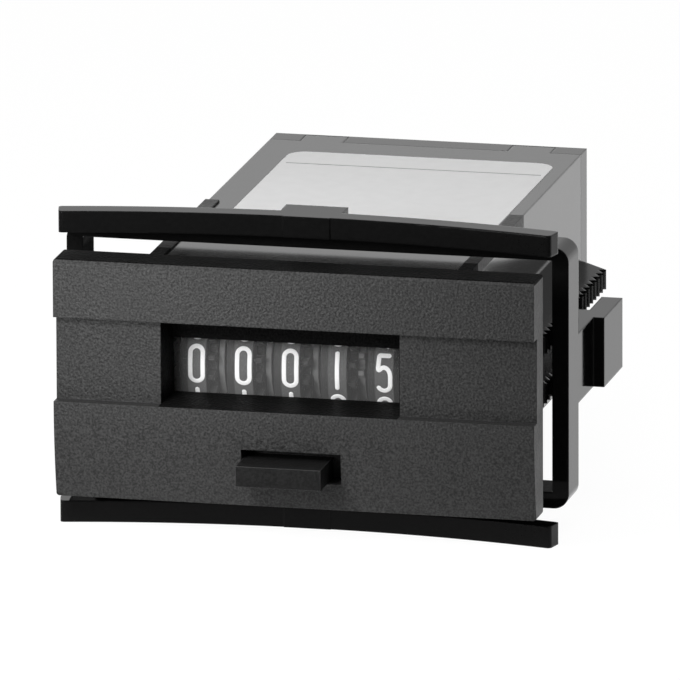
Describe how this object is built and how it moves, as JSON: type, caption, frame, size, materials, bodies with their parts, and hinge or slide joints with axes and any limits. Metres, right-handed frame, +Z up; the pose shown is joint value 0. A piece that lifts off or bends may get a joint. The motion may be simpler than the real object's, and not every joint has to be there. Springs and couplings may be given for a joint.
{
  "type": "panel counter",
  "caption": "Electromechanical impulse counter for a panel cut-out: framed figure window, reset key, toothed side rails and a push-on clamp frame with bowed spring wings.",
  "frame": {"origin": "centre of the front frame's rear face, which lies on the panel's front", "axes": "+X right seen from the front, +Y through the panel to the rear, +Z up"},
  "size_m": [0.0524, 0.07, 0.0314],
  "materials": {
    "front_frame": "fine spark-eroded texture, near black",
    "lens": "clear",
    "key": "satin, near black",
    "housing": "smooth moulded, black",
    "cover": "smooth moulded, black",
    "clamp": "smooth moulded, black",
    "wheel": "satin, dark grey",
    "pinion": "natural, off-white",
    "steel": "plated",
    "spring_steel": "bright wire",
    "brass": "bare",
    "bobbin": "natural",
    "winding": "enamelled wire",
    "iron": "soft iron, plated"
  },
  "bodies": {
    "case": {"front_bezel": "front_frame", "window_lens": "lens", "housing": "housing", "rear_cover": "cover", "terminal_left": "brass", "terminal_right": "brass", "left_side_plate": "steel", "right_side_plate": "steel", "wheel_shaft": "steel", "pinion_shaft": "steel", "coil_bobbin": "bobbin", "coil_winding": "winding", "coil_core": "iron", "magnet_yoke": "iron", "armature_pin": "steel", "armature_spring": "spring_steel", "button_spring": "spring_steel"},
    "reset_key": {"reset_button": "key", "reset_comb": "steel"},
    "clamp": {"clamp_frame": "clamp"},
    "wheel_ten_thousands": {"ten_thousands_wheel": "wheel"},
    "wheel_thousands": {"thousands_wheel": "wheel"},
    "wheel_hundreds": {"hundreds_wheel": "wheel"},
    "wheel_tens": {"tens_wheel": "wheel"},
    "wheel_units": {"units_wheel": "wheel"},
    "pinion_1": {"transfer_pinion_1": "pinion"},
    "pinion_2": {"transfer_pinion_2": "pinion"},
    "pinion_3": {"transfer_pinion_3": "pinion"},
    "pinion_4": {"transfer_pinion_4": "pinion"},
    "clapper": {"armature": "iron"}
  },
  "joints": [
    {"name": "reset_press", "type": "slide", "parent": "case", "child": "reset_key", "axis": [0, 1, 0], "range_m": [0, 0.0024], "stiffness_N_per_m": 400, "springref_m": -0.002, "deforming": ["button_spring"]},
    {"name": "clamp_slide", "type": "slide", "parent": "case", "child": "clamp", "axis": [0, 1, 0], "range_m": [-0.0005, 0.024]},
    {"name": "turn_ten_thousands", "type": "hinge", "parent": "case", "child": "wheel_ten_thousands", "pos_m": [-0.01148, 0.0106, 0], "axis": [-1, 0, 0], "continuous": true},
    {"name": "turn_thousands", "type": "hinge", "parent": "case", "child": "wheel_thousands", "pos_m": [-0.00678, 0.0106, 0], "axis": [-1, 0, 0], "continuous": true},
    {"name": "turn_hundreds", "type": "hinge", "parent": "case", "child": "wheel_hundreds", "pos_m": [-0.00208, 0.0106, 0], "axis": [-1, 0, 0], "continuous": true},
    {"name": "turn_tens", "type": "hinge", "parent": "case", "child": "wheel_tens", "pos_m": [0.00262, 0.0106, 0], "axis": [-1, 0, 0], "continuous": true},
    {"name": "turn_units", "type": "hinge", "parent": "case", "child": "wheel_units", "pos_m": [0.00732, 0.0106, 0], "axis": [-1, 0, 0], "continuous": true},
    {"name": "spin_pinion_1", "type": "hinge", "parent": "case", "child": "pinion_1", "pos_m": [-0.00988, 0.01821, -0.00355], "axis": [-1, 0, 0], "continuous": true},
    {"name": "spin_pinion_2", "type": "hinge", "parent": "case", "child": "pinion_2", "pos_m": [-0.00518, 0.01821, -0.00355], "axis": [-1, 0, 0], "continuous": true},
    {"name": "spin_pinion_3", "type": "hinge", "parent": "case", "child": "pinion_3", "pos_m": [-0.00048, 0.01821, -0.00355], "axis": [-1, 0, 0], "continuous": true},
    {"name": "spin_pinion_4", "type": "hinge", "parent": "case", "child": "pinion_4", "pos_m": [0.00422, 0.01821, -0.00355], "axis": [-1, 0, 0], "continuous": true},
    {"name": "armature_swing", "type": "hinge", "parent": "case", "child": "clapper", "pos_m": [-0.002, 0.0312, 0.0069], "axis": [1, 0, 0], "range_deg": [0, 3.6], "stiffness_Nm_per_rad": 0.02, "springref_deg": -5.73, "deforming": ["armature_spring"]}
  ],
  "couplings": [
    {"joint": "spin_pinion_1", "follows": "turn_ten_thousands", "ratio": -2.5},
    {"joint": "spin_pinion_2", "follows": "turn_thousands", "ratio": -2.5},
    {"joint": "spin_pinion_3", "follows": "turn_hundreds", "ratio": -2.5},
    {"joint": "spin_pinion_4", "follows": "turn_tens", "ratio": -2.5}
  ]
}
